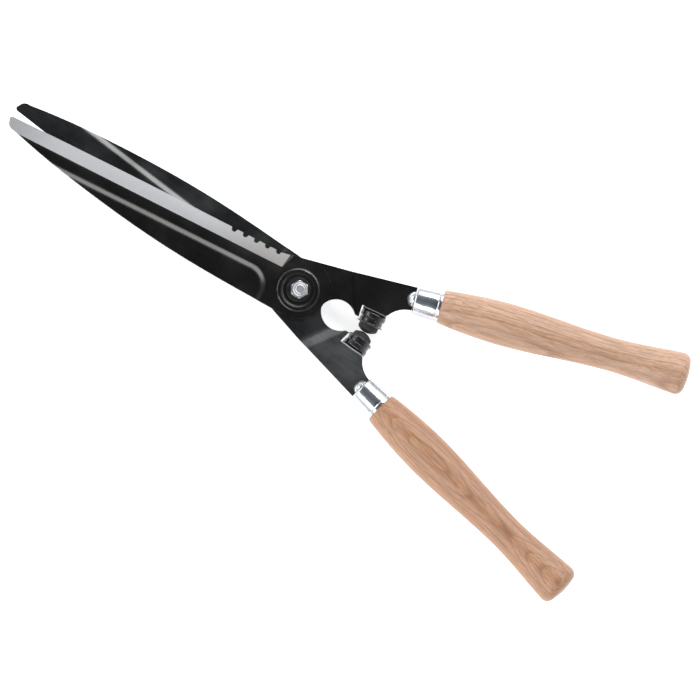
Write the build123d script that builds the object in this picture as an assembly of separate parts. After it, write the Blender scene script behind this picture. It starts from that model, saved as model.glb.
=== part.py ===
from build123d import *
from math import atan2, cos, degrees, radians, sin, sqrt, tan
import os

# Hedge shears, in millimetres.  The origin is on the pivot axis, midway between the two blades.
# +X runs to the blade tips, +Z up the pivot bolt to its nut, and the handles rise towards +Z.
# The front arm is the upper one: its blade lies on the +Y side, its handle on the -Y side.
# The rear arm's blade is the front one turned over; its shank and handle are the front ones mirrored.

# Sheet steel of the two arms
SHEET = 3.0                 # thickness of the pressed steel
BLADE_GAP = 0.2             # running gap between the two blades' inner faces
INNER_Z = BLADE_GAP / 2     # inner face of the front arm
OUTER_Z = INNER_Z + SHEET   # outer face of the front arm
MID_Z = INNER_Z + SHEET / 2

# Blade outline, seen from above
BLADE_LENGTH = 268.2        # pivot to tip
SPINE_WIDEST = 27.2         # height of the spine over the pivot's centre line, where it is highest
SPINE_WIDEST_AT = 0.37      # and how far along the blade that is, as a part of its length
SPINE_FAR = 23.2            # its height further on
SPINE_FAR_AT = 0.67
TIP_SPINE = 12.1            # its height where the tip's round begins
TIP_ROUND = 8.0             # length of that round
TIP_FRONT = 4.0             # height of the blunt front, up from the cutting edge
TIP_SLANT = 1.0             # how far the blunt front leans back towards the spine
TIP_CORNER = 2.6            # small round between the front and the cutting edge
EDGE_ANGLE = 5.25           # rise of the cutting edge towards the tip, degrees
EDGE_BELLY = 0.9            # how far the cutting edge bows out between its ends
HEEL_X = 26.8               # where the cutting edge starts
HEEL_Y = -19.0
SPINE_START_SLOPE = 0.05    # slope of the spine over the pivot, and where the tip's round begins
SPINE_END_SLOPE = -0.2
BOSS_RADIUS = 23.6          # round end of the sheet about the pivot
BOSS_FOOT = 1.0             # the boss's round ends this far below the pivot's centre line

# Ground bevel and its pruning notches
BEVEL_WIDTH = 10.7
BEVEL_EDGE_THICKNESS = 1.1  # steel left at the cutting edge
BEVEL_HEEL_X = 17.6         # where the heel end of the bevel meets the cutting side
BEVEL_HEEL_LEAN = 17.0      # lean of that end from square, degrees
BEVEL_HEEL_SLOPE = 40.0     # slope of the face that the wheel leaves there, degrees
BEVEL_OVERCUT = 6.0         # the cut runs this far past the cutting edge
NOTCH_COUNT = 5
NOTCH_PITCH = 10.0
NOTCH_FIRST_X = 29.6
NOTCH_RADIUS = 2.1
NOTCH_INSET = 0.5           # centre of the round, inside the edge
MOUTH_RADIUS = 3.6          # wider shallow mouth of each notch
MOUTH_DEPTH = 0.8

# Raised panel pressed out along the spine
PANEL_RISE = 1.6
PANEL_SLOPE = 7.6           # width of the border, an S of two arcs
PANEL_START = 44.0          # where the border turns up towards the spine
PANEL_OFFSET = 6.5          # border's distance from the bevel
PANEL_CORNER = 19.5         # radius of that turn
PANEL_SUNK = 0.05           # the border starts this far inside the sheet, so it leaves it at an angle
PANEL_INSET = 1.0           # the hollow behind the panel is this much smaller all round

# Pressed ring about the pivot
RING_RADIUS = 17.8
RING_CREST = 16.2
RING_RISE = 1.1
RING_STEEPNESS = 60.0       # slope of its outside at the sheet, degrees
DISH_RADIUS = 10.6
DISH_RISE = 0.35
COIN_RADIUS = 27.0          # flat struck round the ring, seen as a step on the shank
COIN_DEPTH = 0.45

# Crank, where the shank bends up
CRANK_X = -38.0
CRANK_Y = -25.0
CRANK_TURN = 35.3           # normal of the bend line from -X, degrees
CRANK_ANGLE = 14.0
CRANK_RADIUS = 15.0
JOGGLE_START = -7.2         # the rear arm starts to rise this far before the front one's bend
JOGGLE_END = 0.8
JOGGLE_JOIN = 4.0           # flat sheet kept between the turned-over blade and the joggle
SHANK_RUN = 220.0           # length of bent sheet beyond the crank, before the outline is cut

# Shank outline, seen from above
SHANK_KNEE_X = 8.0
SHANK_KNEE_Y = -24.6
EYE_RADIUS = 12.0           # round gap between the two shanks
EYE_X = -36.0
EYE_END_X = -50.0
EYE_END_Y = -7.6
SLIT_WIDTH = 0.7            # relief cut beside the bent tab
SLIT_DEPTH = 9.3
TONGUE_REACH = 2.4          # the sheet beside the tab widens this much over the cup
WAIST_X = -77.0             # middle of the hollow between tab and ferrule
WAIST_Y = -27.3

# Handle axis, seen from above
HANDLE_X = -84.0            # where the axis enters the ferrule
HANDLE_Y = -42.5
HANDLE_ANGLE = 14.95        # spread of each handle from -X, degrees
SHANK_WIDTH = 19.2          # width of the shank where it enters the ferrule

# Tab and buffer
TAB_X = -62.4               # middle of the bent tab
TAB_Y = -16.4               # its buffer side
TAB_WIDTH = 20.4
TAB_ROOT = 0.4              # the shank stands out this much beyond each side of the tab
TAB_LEAN = 6.8              # buffers face this much towards the handles, degrees
TAB_BEND = 2.4              # outside radius of the tab's bend
BUFFER_DROP = 9.6           # buffer axis below the top of the sheet
CUP_BASE_RADIUS = 10.8      # wide band of the cup against the tab
CUP_BASE_LENGTH = 4.6
CUP_RADIUS = 10.0           # narrower band beyond it
CUP_LENGTH = 10.4
CUP_WALL = 0.9
CUP_CORNER = 1.0            # round where the cup meets the tab
LIP_RADIUS = 11.1
LIP_THICKNESS = 1.3
LIP_ROUND = 0.4
PAD_RADIUS = 8.3            # rubber outside the cup
PAD_CROWN = 12.0            # radius of its rounded end
PAD_CORNER = 2.6            # length of the round between its end and its side
PAD_SHOULDER = 0.9          # and how far that round comes in
BUFFER_GAP = 0.3            # between the two rubbers with the shears shut
RIVET_RADIUS = 2.5
RIVET_CLEARANCE = 0.05
RIVET_HEAD = 4.6
RIVET_HEAD_HEIGHT = 1.8
RIVET_TAIL_HEIGHT = 1.4
RIVET_RIM = 0.4             # straight rim of its head

# Pivot fastening
BOLT_DIAMETER = 8.0
BOLT_CLEARANCE = 0.05       # radial running clearance in the front arm
NECK_WIDTH = BOLT_DIAMETER + 0.5   # square under the bolt's head
NECK_CLEARANCE = 0.05       # round that square in the rear arm
BOLT_HEAD_RADIUS = 9.5
BOLT_HEAD_HEIGHT = 4.4
BOLT_HEAD_RIM = 0.8         # straight rim of the cup head
BOLT_END = 1.0              # thread standing proud of the nut
BOLT_CHAMFER = 0.8
WASHER_RADIUS = 10.0
WASHER_THICKNESS = 1.5
WASHER_CHAMFER = 0.3
WASHER_GAP = 0.05           # running gap between washer and front arm
NUT_WIDTH = 13.0
NUT_HEX_HEIGHT = 6.3
INSERT_RADIUS = BOLT_DIAMETER / 2 + 0.9     # nylon ring in the nut
NUT_COLLAR_RADIUS = INSERT_RADIUS + 0.7     # thin collar over that ring
NUT_COLLAR_HEIGHT = 1.5
NUT_COLLAR_CHAMFER = 0.7
NUT_COLLAR_LIP = 0.3        # collar metal turned in over the nylon ring
NUT_CHAMFER_ANGLE = 30.0
INSERT_HEIGHT = 1.6

# Tang, ferrule and handle, along the handle axis from the ferrule's shoulder
TANG_WIDTH = 12.0
TANG_END_WIDTH = 8.0
TANG_LENGTH = 78.0
TANG_CLEARANCE = 0.05
FERRULE_LENGTH = 22.8
FERRULE_RADIUS = 13.5       # at the wood
FERRULE_NECK = 12.6         # at the shoulder
FERRULE_WALL = 1.1
FERRULE_ROUND = 2.4
NOSE_RADIUS = 7.0
NOSE_LENGTH = 6.2
SHOULDER_DEPTH = 4.0        # how far the wide shank runs inside the ferrule
WOOD_GAP = 0.6              # from the shank's shoulders to the wood
SLOT_CLEARANCE = 0.25       # at the shank's two edges
HANDLE_LENGTH = 229.0       # ferrule shoulder to butt
HANDLE_START = 13.95
HANDLE_START_SLOPE = 0.13   # how fast it swells there
HANDLE_BELLY = 17.7
HANDLE_BELLY_AT = 76.0
HANDLE_WAIST = 13.7
HANDLE_WAIST_AT = 165.0
HANDLE_BUTT = 17.4
HANDLE_BUTT_SLOPE = 0.06
BUTT_ROUND = 7.0            # radius of the round at the butt end
BUTT_DOME = 1.2             # height of the shallow dome inside that round
TENON_CLEARANCE = 0.05
TENON_CHAMFER = 1.0
WOOD_CHAMFER = 0.8          # broken edge of the wood against the ferrule

FAR = 400.0                 # longer than anything here, for cutting blocks
THROUGH = 40.0              # deeper than any hole


# ---- directions and places that follow from the sizes ----

SLOPE = tan(radians(CRANK_ANGLE))
TURN = radians(CRANK_TURN)
CRANK_NORMAL = Vector(-cos(TURN), -sin(TURN), 0)
SPREAD = radians(HANDLE_ANGLE)
HANDLE_PLAN = Vector(-cos(SPREAD), -sin(SPREAD), 0)
SHEET_NORMAL = Vector(cos(TURN) * SLOPE, sin(TURN) * SLOPE, 1).normalized()


def past_crank(x, y):
    """Distance of a plan point beyond the front arm's bend line."""
    return (Vector(x, y, 0) - Vector(CRANK_X, CRANK_Y, 0)).dot(CRANK_NORMAL)


def on_shank(x, y):
    """The point of the shank's middle surface over a plan point."""
    return Vector(x, y, MID_Z + past_crank(x, y) * SLOPE)


def along_handle(distance, side=0.0):
    """Plan point under a distance along the handle axis, and to one side of it."""
    climb = CRANK_NORMAL.dot(HANDLE_PLAN) * SLOPE
    distance = distance / sqrt(1 + climb ** 2)
    return (
        HANDLE_X + HANDLE_PLAN.X * distance - HANDLE_PLAN.Y * side,
        HANDLE_Y + HANDLE_PLAN.Y * distance + HANDLE_PLAN.X * side,
    )


def handle_plane():
    """Plane at the ferrule's shoulder: Z along the handle, X out of the sheet."""
    start = on_shank(HANDLE_X, HANDLE_Y)
    end = on_shank(*along_handle(100))
    return Plane(origin=start, x_dir=SHEET_NORMAL, z_dir=(end - start).normalized())


def tab_plane():
    """Plane on the tab's buffer side, at the buffer's axis: Z along that axis, X out of the sheet."""
    lean = radians(TAB_LEAN)
    corner = on_shank(TAB_X, TAB_Y)
    ahead = on_shank(TAB_X - sin(lean), TAB_Y + cos(lean))
    origin = corner + SHEET_NORMAL * (SHEET / 2 - BUFFER_DROP)
    return Plane(origin=origin, x_dir=SHEET_NORMAL, z_dir=(ahead - corner).normalized())


def mirrored(solid):
    """The same piece on the rear arm's side."""
    return mirror(solid, about=Plane.XZ)


def turned(profile_points, plane=Plane.XY):
    """Solid of revolution about a plane's Z axis, from (radius, height) points."""
    face = make_face(Polyline(*[(r, 0, z) for r, z in profile_points], close=True))
    return plane.location * revolve(face, Axis.Z)


def crown_arc(edge_radius, edge_z, top_z):
    """Arc of a sphere centred on the Z axis, from its rim to its top, in the XZ plane."""
    rise = top_z - edge_z
    radius = (edge_radius ** 2 + rise ** 2) / (2 * rise)
    centre_z = top_z - radius
    middle = Vector(edge_radius, 0, edge_z - centre_z + radius).normalized() * abs(radius)
    return ThreePointArc(
        (edge_radius, 0, edge_z), (middle.X, 0, centre_z + middle.Z), (0, 0, top_z))


def quarter_arc(start, end, turn_first=False):
    """Quarter round between two plan points, bulging past the line between them."""
    corner = (start[0], end[1]) if turn_first else (end[0], start[1])
    centre = (start[0] + end[0] - corner[0], start[1] + end[1] - corner[1])
    half = sqrt(0.5)
    middle = (centre[0] + (corner[0] - centre[0]) * half, centre[1] + (corner[1] - centre[1]) * half)
    return ThreePointArc(start, middle, end)


# ---- outlines, seen from above ----

def edge_y(x):
    """Height of the straight line under the cutting edge."""
    return HEEL_Y + tan(radians(EDGE_ANGLE)) * (x - HEEL_X)


def blade_outline():
    """Spine, tip and cutting edge of a blade, from the boss's top round to the heel."""
    round_x = BLADE_LENGTH - TIP_ROUND
    front = (BLADE_LENGTH - TIP_SLANT, edge_y(BLADE_LENGTH) + TIP_FRONT)
    corner = (BLADE_LENGTH, edge_y(BLADE_LENGTH) + TIP_CORNER)
    edge_end = (BLADE_LENGTH - TIP_CORNER, edge_y(BLADE_LENGTH - TIP_CORNER))
    middle_x = (HEEL_X + edge_end[0]) / 2
    spine = Spline(
        (0, BOSS_RADIUS),
        (BLADE_LENGTH * SPINE_WIDEST_AT, SPINE_WIDEST),
        (BLADE_LENGTH * SPINE_FAR_AT, SPINE_FAR),
        (round_x, TIP_SPINE),
        tangents=[(1, SPINE_START_SLOPE), (1, SPINE_END_SLOPE)],
    )
    return [
        spine,
        quarter_arc((round_x, TIP_SPINE), front),
        Line(front, corner),
        quarter_arc(corner, edge_end, turn_first=True),
        ThreePointArc(edge_end, (middle_x, edge_y(middle_x) - EDGE_BELLY), (HEEL_X, HEEL_Y)),
    ]


def tab_corner(side, depth=0.0):
    """Plan point on the tab's bend, to one side of its middle and a depth back into the shank."""
    lean = radians(TAB_LEAN)
    return (
        TAB_X - cos(lean) * side + sin(lean) * depth,
        TAB_Y - sin(lean) * side - cos(lean) * depth,
    )


def shank_outline():
    """From the heel out along the shank, round the ferrule end and back to the eye and the boss."""
    half = SHANK_WIDTH / 2
    half_root = TAB_WIDTH / 2 + TAB_ROOT
    knee = (SHANK_KNEE_X, SHANK_KNEE_Y)
    outer = along_handle(0, half)
    outer_in = along_handle(SHOULDER_DEPTH, half)
    inner_in = along_handle(SHOULDER_DEPTH, -half)
    inner = along_handle(0, -half)
    tab_far = tab_corner(half_root, TAB_BEND)
    tab_near = tab_corner(-half_root, TAB_BEND)
    slit_x = tab_near[0] + SLIT_WIDTH
    slit_end = EYE_END_Y - SLIT_DEPTH
    tongue_x = slit_x - TONGUE_REACH
    boss_end = (-sqrt(BOSS_RADIUS ** 2 - BOSS_FOOT ** 2), -BOSS_FOOT)
    return [
        Line((HEEL_X, HEEL_Y), knee),
        Line(knee, outer),
        Polyline(outer, outer_in, inner_in, inner),
        ThreePointArc(inner, (WAIST_X, WAIST_Y), tab_far),
        Line(tab_far, tab_near),
        Line(tab_near, (tab_near[0], slit_end)),
        ThreePointArc(
            (tab_near[0], slit_end),
            (tab_near[0] + SLIT_WIDTH / 2, slit_end - SLIT_WIDTH / 2),
            (slit_x, slit_end),
        ),
        Line((slit_x, slit_end), (tongue_x, EYE_END_Y)),
        Line((tongue_x, EYE_END_Y), (EYE_END_X, EYE_END_Y)),
        ThreePointArc((EYE_END_X, EYE_END_Y), (EYE_X, -EYE_RADIUS), boss_end),
        ThreePointArc(boss_end, (-BOSS_RADIUS * sqrt(0.5), BOSS_RADIUS * sqrt(0.5)), (0, BOSS_RADIUS)),
    ]


# ---- the sheet of an arm ----

def bent_plate(stations):
    """Plate whose middle line runs through (distance past the crank, height) points, its bends rounded."""
    lines = []
    for side in (0.5, -0.5):
        points = []
        for i, (s, z) in enumerate(stations):
            before = stations[max(i - 1, 0)]
            after = stations[min(i + 1, len(stations) - 1)]
            first = atan2(z - before[1], s - before[0]) if i > 0 else None
            second = atan2(after[1] - z, after[0] - s) if i < len(stations) - 1 else first
            first = second if first is None else first
            heading = (first + second) / 2
            reach = side * SHEET / cos((second - first) / 2)
            points.append((s - sin(heading) * reach, z + cos(heading) * reach))
        lines.append(points)
    top, bottom = lines
    if len(stations) > 2:
        faces = [FilletPolyline(*points, radius=CRANK_RADIUS) for points in lines]
    else:
        faces = [Line(*points) for points in lines]
    profile = faces + [Line(top[-1], bottom[-1]), Line(top[0], bottom[0])]
    plane = Plane(
        origin=(CRANK_X, CRANK_Y, 0),
        x_dir=CRANK_NORMAL,
        z_dir=CRANK_NORMAL.cross(Vector(0, 0, 1)),
    )
    return extrude(plane * make_face(profile), amount=FAR, both=True)


def panel_block(base_z, inset):
    """Block over the raised panel, its border an S of two arcs, running out past the spine."""
    direction = radians(EDGE_ANGLE)
    along = Vector(cos(direction), sin(direction), 0)
    inward = Vector(-sin(direction), cos(direction), 0)
    start = Vector(PANEL_START, edge_y(PANEL_START), 0) + inward * (BEVEL_WIDTH + PANEL_OFFSET)
    centre = start + inward * PANEL_CORNER + Vector(0, 0, base_z - PANEL_SUNK)
    rise = PANEL_RISE + PANEL_SUNK
    arc_radius = (PANEL_SLOPE ** 2 + rise ** 2) / (4 * rise)
    middle = PANEL_SLOPE / 2
    quarter = PANEL_SLOPE / 4
    sag = arc_radius - sqrt(arc_radius ** 2 - quarter ** 2)

    def border_face(plane, width):
        """Section of the block: u runs in from the border, v up."""
        foot = (inset, 0)
        half_way = (inset + middle, rise / 2)
        top = (inset + PANEL_SLOPE, rise)
        section = [
            ThreePointArc(foot, (inset + quarter, sag), half_way),
            ThreePointArc(half_way, (inset + middle + quarter, rise - sag), top),
            Polyline(top, (width, rise), (width, -SHEET), (inset, -SHEET), foot),
        ]
        return plane * make_face(section)

    side_origin = centre - inward * PANEL_CORNER
    side = Plane(origin=side_origin, x_dir=inward, z_dir=inward.cross(Vector(0, 0, 1)))
    end_origin = centre - along * PANEL_CORNER
    end = Plane(origin=end_origin, x_dir=along, z_dir=along.cross(Vector(0, 0, 1)))
    straight = extrude(border_face(side, FAR / 8), amount=BLADE_LENGTH, dir=along)
    rising = extrude(border_face(end, PANEL_CORNER), amount=FAR / 8, dir=inward)
    corner = revolve(border_face(side, PANEL_CORNER), Axis(centre, (0, 0, 1)), revolution_arc=-90)
    return straight + rising + corner


def ring_solid(base_z):
    """The pressed ring's outer surface as a solid of revolution about the pivot."""
    slope = radians(RING_STEEPNESS)
    foot = base_z - SHEET / 2
    middle = (RING_CREST + DISH_RADIUS) / 2
    crest = Spline(
        (RING_RADIUS, 0, base_z), (RING_CREST, 0, base_z + RING_RISE),
        (middle, 0, base_z + (RING_RISE + DISH_RISE) / 2), (DISH_RADIUS, 0, base_z + DISH_RISE),
        tangents=[(-cos(slope), 0, sin(slope)), (-1, 0, 0)],
    )
    rest = Polyline(
        (DISH_RADIUS, 0, base_z + DISH_RISE), (0, 0, base_z + DISH_RISE), (0, 0, foot),
        (RING_RADIUS, 0, foot), (RING_RADIUS, 0, base_z),
    )
    return revolve(make_face([crest, rest]), Axis.Z)


def bevel_cutter():
    """Wedge that grinds the bevel along the cutting edge, ended by a leaning plane at the heel."""
    depth = SHEET - BEVEL_EDGE_THICKNESS
    below = depth * (1 + BEVEL_OVERCUT / BEVEL_WIDTH)
    above = OUTER_Z + SHEET
    wedge = make_face(Polyline(
        (0, BEVEL_WIDTH, OUTER_Z), (0, -BEVEL_OVERCUT, OUTER_Z - below), (0, -BEVEL_OVERCUT, above),
        (0, BEVEL_WIDTH, above), close=True,
    ))
    bar = extrude(wedge, amount=FAR, dir=(1, 0, 0))
    start = Pos(BEVEL_HEEL_X, edge_y(BEVEL_HEEL_X), 0)
    bar = start * Rot(0, 0, EDGE_ANGLE) * bar
    heel = Box(THROUGH, 2 * THROUGH, THROUGH, align=(Align.MAX, Align.CENTER, Align.CENTER))
    lean = Rot(0, 0, -BEVEL_HEEL_LEAN) * Rot(0, BEVEL_HEEL_SLOPE - 90, 0)
    return bar - start * Pos(0, 0, OUTER_Z) * lean * heel


def notches():
    """Round pruning notches with shallow mouths, along the heel end of the cutting edge."""
    cutters = []
    for i in range(NOTCH_COUNT):
        x = NOTCH_FIRST_X + i * NOTCH_PITCH
        y = edge_y(x)
        cutters.append(Pos(x, y + NOTCH_INSET, 0) * Cylinder(NOTCH_RADIUS, THROUGH))
        cutters.append(Pos(x, y + MOUTH_DEPTH - MOUTH_RADIUS, 0) * Cylinder(MOUTH_RADIUS, THROUGH))
    return cutters


def coin_cutter():
    """Disc-shaped strike round the ring, deepest on the shank side and run out towards the blade."""
    tilt = degrees(atan2(COIN_DEPTH, COIN_RADIUS))
    disc = Cylinder(COIN_RADIUS, THROUGH, align=(Align.CENTER, Align.CENTER, Align.MIN))
    return Pos(0, 0, OUTER_Z) * Rot(0, -tilt, degrees(SPREAD)) * disc


def arm_blank(stations):
    """Outline cut from the bent plate, with the blade's pressed and ground features."""
    outline = make_face(blade_outline() + shank_outline())
    prism = extrude(outline, amount=FAR / 4, both=True)
    blade = bent_plate(stations) & prism
    above = Pos(0, 0, MID_Z) * Box(FAR * 2, FAR, FAR, align=(Align.CENTER, Align.CENTER, Align.MIN))
    blade += panel_block(OUTER_Z, 0) & prism & above
    blade -= panel_block(INNER_Z, PANEL_INSET)
    blade -= coin_cutter()
    blade += ring_solid(OUTER_Z)
    blade -= ring_solid(INNER_Z)
    blade -= bevel_cutter()
    return blade


def tang(clearance=0.0):
    """Tapered tang in the middle of the sheet, along the handle."""
    half = TANG_WIDTH / 2 + clearance
    end = TANG_END_WIDTH / 2 + clearance
    length = TANG_LENGTH + clearance * 4
    face = make_face(Polyline(
        (0, -half, 0), (0, half, 0), (0, half, SHOULDER_DEPTH), (0, end, length),
        (0, -end, length), (0, -half, SHOULDER_DEPTH), close=True,
    ))
    return handle_plane().location * extrude(face, amount=SHEET / 2 + clearance, dir=(1, 0, 0), both=True)


def tab():
    """Tab bent down from the shank's inner edge, round about the buffer's axis, with its rivet hole."""
    half = TAB_WIDTH / 2
    flat = Box(BUFFER_DROP, TAB_WIDTH, SHEET, align=(Align.MIN, Align.CENTER, Align.MAX))
    plate = flat + Cylinder(half, SHEET, align=(Align.CENTER, Align.CENTER, Align.MAX))
    above = Box(THROUGH, THROUGH, THROUGH, align=(Align.MIN, Align.CENTER, Align.CENTER))
    plate -= Pos(BUFFER_DROP, 0, 0) * above
    top_edge = plate.edges().filter_by(Axis.Y).group_by(Axis.X)[-1].sort_by(Axis.Z)[-1]
    plate = fillet(top_edge, TAB_BEND)
    plate -= Cylinder(RIVET_RADIUS + RIVET_CLEARANCE, FAR)
    return tab_plane().location * plate


def front_blade():
    stations = [(-FAR, MID_Z), (0, MID_Z), (SHANK_RUN, MID_Z + SHANK_RUN * SLOPE)]
    arm = arm_blank(stations) + tab() + tang()
    for cutter in notches():
        arm -= cutter
    return arm - Cylinder(BOLT_DIAMETER / 2 + BOLT_CLEARANCE, THROUGH)


def rear_blade():
    """Turned over from the front one, so its shank climbs through a joggle to the same slope."""
    flat_arm = arm_blank([(-FAR, MID_Z), (FAR, MID_Z)])
    turned_over = mirror(mirror(flat_arm, about=Plane.XZ), about=Plane.XY)
    half_space = Box(FAR, FAR, FAR, align=(Align.MIN, Align.CENTER, Align.CENTER))
    keep = Rot(0, 0, -CRANK_TURN) * Pos(JOGGLE_JOIN - JOGGLE_START, 0, 0) * half_space
    keep = Pos(CRANK_X, -CRANK_Y, 0) * keep
    stations = [
        (-FAR, -MID_Z), (JOGGLE_START, -MID_Z), (JOGGLE_END, MID_Z + JOGGLE_END * SLOPE),
        (SHANK_RUN, MID_Z + SHANK_RUN * SLOPE),
    ]
    outline = make_face(blade_outline() + shank_outline())
    prism = extrude(outline, amount=FAR / 4, both=True)
    shank = mirrored((bent_plate(stations) & prism) + tab() + tang())
    arm = (turned_over & keep) + (shank - keep)
    side = NECK_WIDTH + 2 * NECK_CLEARANCE
    return arm - Box(side, side, THROUGH)


# ---- fittings of one arm ----

def ferrule():
    """Pressed steel ferrule: closed shoulder with a domed nose split by the sheet."""
    neck = FERRULE_NECK - FERRULE_ROUND
    nose_arc = crown_arc(NOSE_RADIUS, 0, -NOSE_LENGTH)
    round_arc = ThreePointArc(
        (neck, 0, 0),
        (neck + FERRULE_ROUND * sqrt(0.5), 0, FERRULE_ROUND * (1 - sqrt(0.5))),
        (FERRULE_NECK, 0, FERRULE_ROUND),
    )
    inside = FERRULE_RADIUS - FERRULE_WALL
    outline = [
        nose_arc, Line((NOSE_RADIUS, 0, 0), (neck, 0, 0)), round_arc,
        Polyline(
            (FERRULE_NECK, 0, FERRULE_ROUND), (FERRULE_RADIUS, 0, FERRULE_LENGTH),
            (inside, 0, FERRULE_LENGTH), (FERRULE_NECK - FERRULE_WALL, 0, FERRULE_ROUND + FERRULE_WALL),
            (neck, 0, FERRULE_WALL), (0, 0, FERRULE_WALL), (0, 0, -NOSE_LENGTH),
        ),
    ]
    shell = revolve(make_face(outline), Axis.Z)
    slot = Box(
        SHEET + 2 * TANG_CLEARANCE, SHANK_WIDTH + 2 * SLOT_CLEARANCE, 2 * FERRULE_WALL + 2 * NOSE_LENGTH)
    return handle_plane().location * (shell - slot)


def handle():
    """Turned beech handle: tenon in the ferrule, belly, waist and a rounded butt."""
    tenon_end = FERRULE_RADIUS - FERRULE_WALL - TENON_CLEARANCE
    tenon_start = FERRULE_NECK - FERRULE_WALL - TENON_CLEARANCE
    wood_start = SHOULDER_DEPTH + WOOD_GAP
    start = (HANDLE_START, 0, FERRULE_LENGTH + WOOD_CHAMFER)
    end_z = HANDLE_LENGTH - BUTT_DOME
    end_r = HANDLE_BUTT - BUTT_ROUND
    butt = (HANDLE_BUTT, 0, end_z - BUTT_ROUND)
    body = Spline(
        start, (HANDLE_BELLY, 0, HANDLE_BELLY_AT), (HANDLE_WAIST, 0, HANDLE_WAIST_AT), butt,
        tangents=[(HANDLE_START_SLOPE, 0, 1), (HANDLE_BUTT_SLOPE, 0, 1)],
    )
    short = BUTT_ROUND * (1 - sqrt(0.5))
    corner = ThreePointArc(butt, (HANDLE_BUTT - short, 0, end_z - short), (end_r, 0, end_z))
    dome = crown_arc(end_r, end_z, HANDLE_LENGTH)
    tenon = Polyline(
        (0, 0, HANDLE_LENGTH), (0, 0, wood_start), (tenon_start - TENON_CHAMFER, 0, wood_start),
        (tenon_start, 0, wood_start + TENON_CHAMFER), (tenon_end, 0, FERRULE_LENGTH),
        (HANDLE_START - WOOD_CHAMFER, 0, FERRULE_LENGTH), start,
    )
    wood = revolve(make_face([body, corner, dome, tenon]), Axis.Z)
    return handle_plane().location * wood - tang(TANG_CLEARANCE)


def buffer_cup():
    """Drawn steel cup on the tab: a wide band, a narrower one, and an outward lip."""
    inner = CUP_RADIUS - CUP_WALL
    top = CUP_LENGTH
    lip = top - LIP_THICKNESS
    step = CUP_BASE_RADIUS - CUP_RADIUS
    hole = RIVET_RADIUS + RIVET_CLEARANCE
    cup = turned([
        (hole, 0), (CUP_BASE_RADIUS - CUP_CORNER, 0), (CUP_BASE_RADIUS, CUP_CORNER),
        (CUP_BASE_RADIUS, CUP_BASE_LENGTH), (CUP_RADIUS, CUP_BASE_LENGTH + step), (CUP_RADIUS, lip),
        (LIP_RADIUS - LIP_ROUND, lip), (LIP_RADIUS, lip + LIP_ROUND), (LIP_RADIUS, top - LIP_ROUND),
        (LIP_RADIUS - LIP_ROUND, top), (inner, top), (inner, CUP_WALL), (hole, CUP_WALL),
    ])
    return tab_plane().location * cup


def buffer_pad():
    """Rubber pad filling the cup, its crown just short of the one on the other arm."""
    plane = tab_plane()
    reach = -plane.origin.Y - BUFFER_GAP / 2 - PAD_CROWN
    height = reach / plane.z_dir.Y + PAD_CROWN
    inner = CUP_RADIUS - CUP_WALL
    edge_r = PAD_RADIUS - PAD_SHOULDER
    edge_z = height - PAD_CROWN + sqrt(PAD_CROWN ** 2 - edge_r ** 2)
    outline = [
        crown_arc(edge_r, edge_z, height),
        ThreePointArc(
            (edge_r, 0, edge_z),
            (PAD_RADIUS - PAD_SHOULDER / 6, 0, edge_z - PAD_CORNER * 0.45),
            (PAD_RADIUS, 0, edge_z - PAD_CORNER),
        ),
        Polyline(
            (PAD_RADIUS, 0, edge_z - PAD_CORNER), (PAD_RADIUS, 0, CUP_LENGTH), (inner, 0, CUP_LENGTH),
            (inner, 0, CUP_WALL), (RIVET_HEAD, 0, CUP_WALL),
            (RIVET_HEAD, 0, CUP_WALL + RIVET_TAIL_HEIGHT), (0, 0, CUP_WALL + RIVET_TAIL_HEIGHT),
            (0, 0, height),
        ),
    ]
    return plane.location * revolve(make_face(outline), Axis.Z)


def buffer_rivet():
    """Rivet through tab and cup: round head behind the tab, flat tail inside the cup."""
    tail = CUP_WALL + RIVET_TAIL_HEIGHT
    rivet = turned([
        (0, -SHEET - RIVET_HEAD_HEIGHT), (RIVET_HEAD * 0.6, -SHEET - RIVET_HEAD_HEIGHT * 0.85),
        (RIVET_HEAD, -SHEET - RIVET_RIM), (RIVET_HEAD, -SHEET), (RIVET_RADIUS, -SHEET),
        (RIVET_RADIUS, CUP_WALL), (RIVET_HEAD, CUP_WALL), (RIVET_HEAD, tail), (0, tail),
    ])
    return tab_plane().location * rivet


# ---- pivot fastening ----

WASHER_Z = OUTER_Z + DISH_RISE + WASHER_GAP
NUT_Z = WASHER_Z + WASHER_THICKNESS
NUT_TOP = NUT_Z + NUT_HEX_HEIGHT + NUT_COLLAR_HEIGHT


def pivot_washer():
    ring = Cylinder(WASHER_RADIUS, WASHER_THICKNESS, align=(Align.CENTER, Align.CENTER, Align.MIN))
    ring = chamfer(ring.edges().group_by(Axis.Z)[-1], WASHER_CHAMFER)
    return Pos(0, 0, WASHER_Z) * (ring - Cylinder(BOLT_DIAMETER / 2 + BOLT_CLEARANCE, THROUGH))


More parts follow.
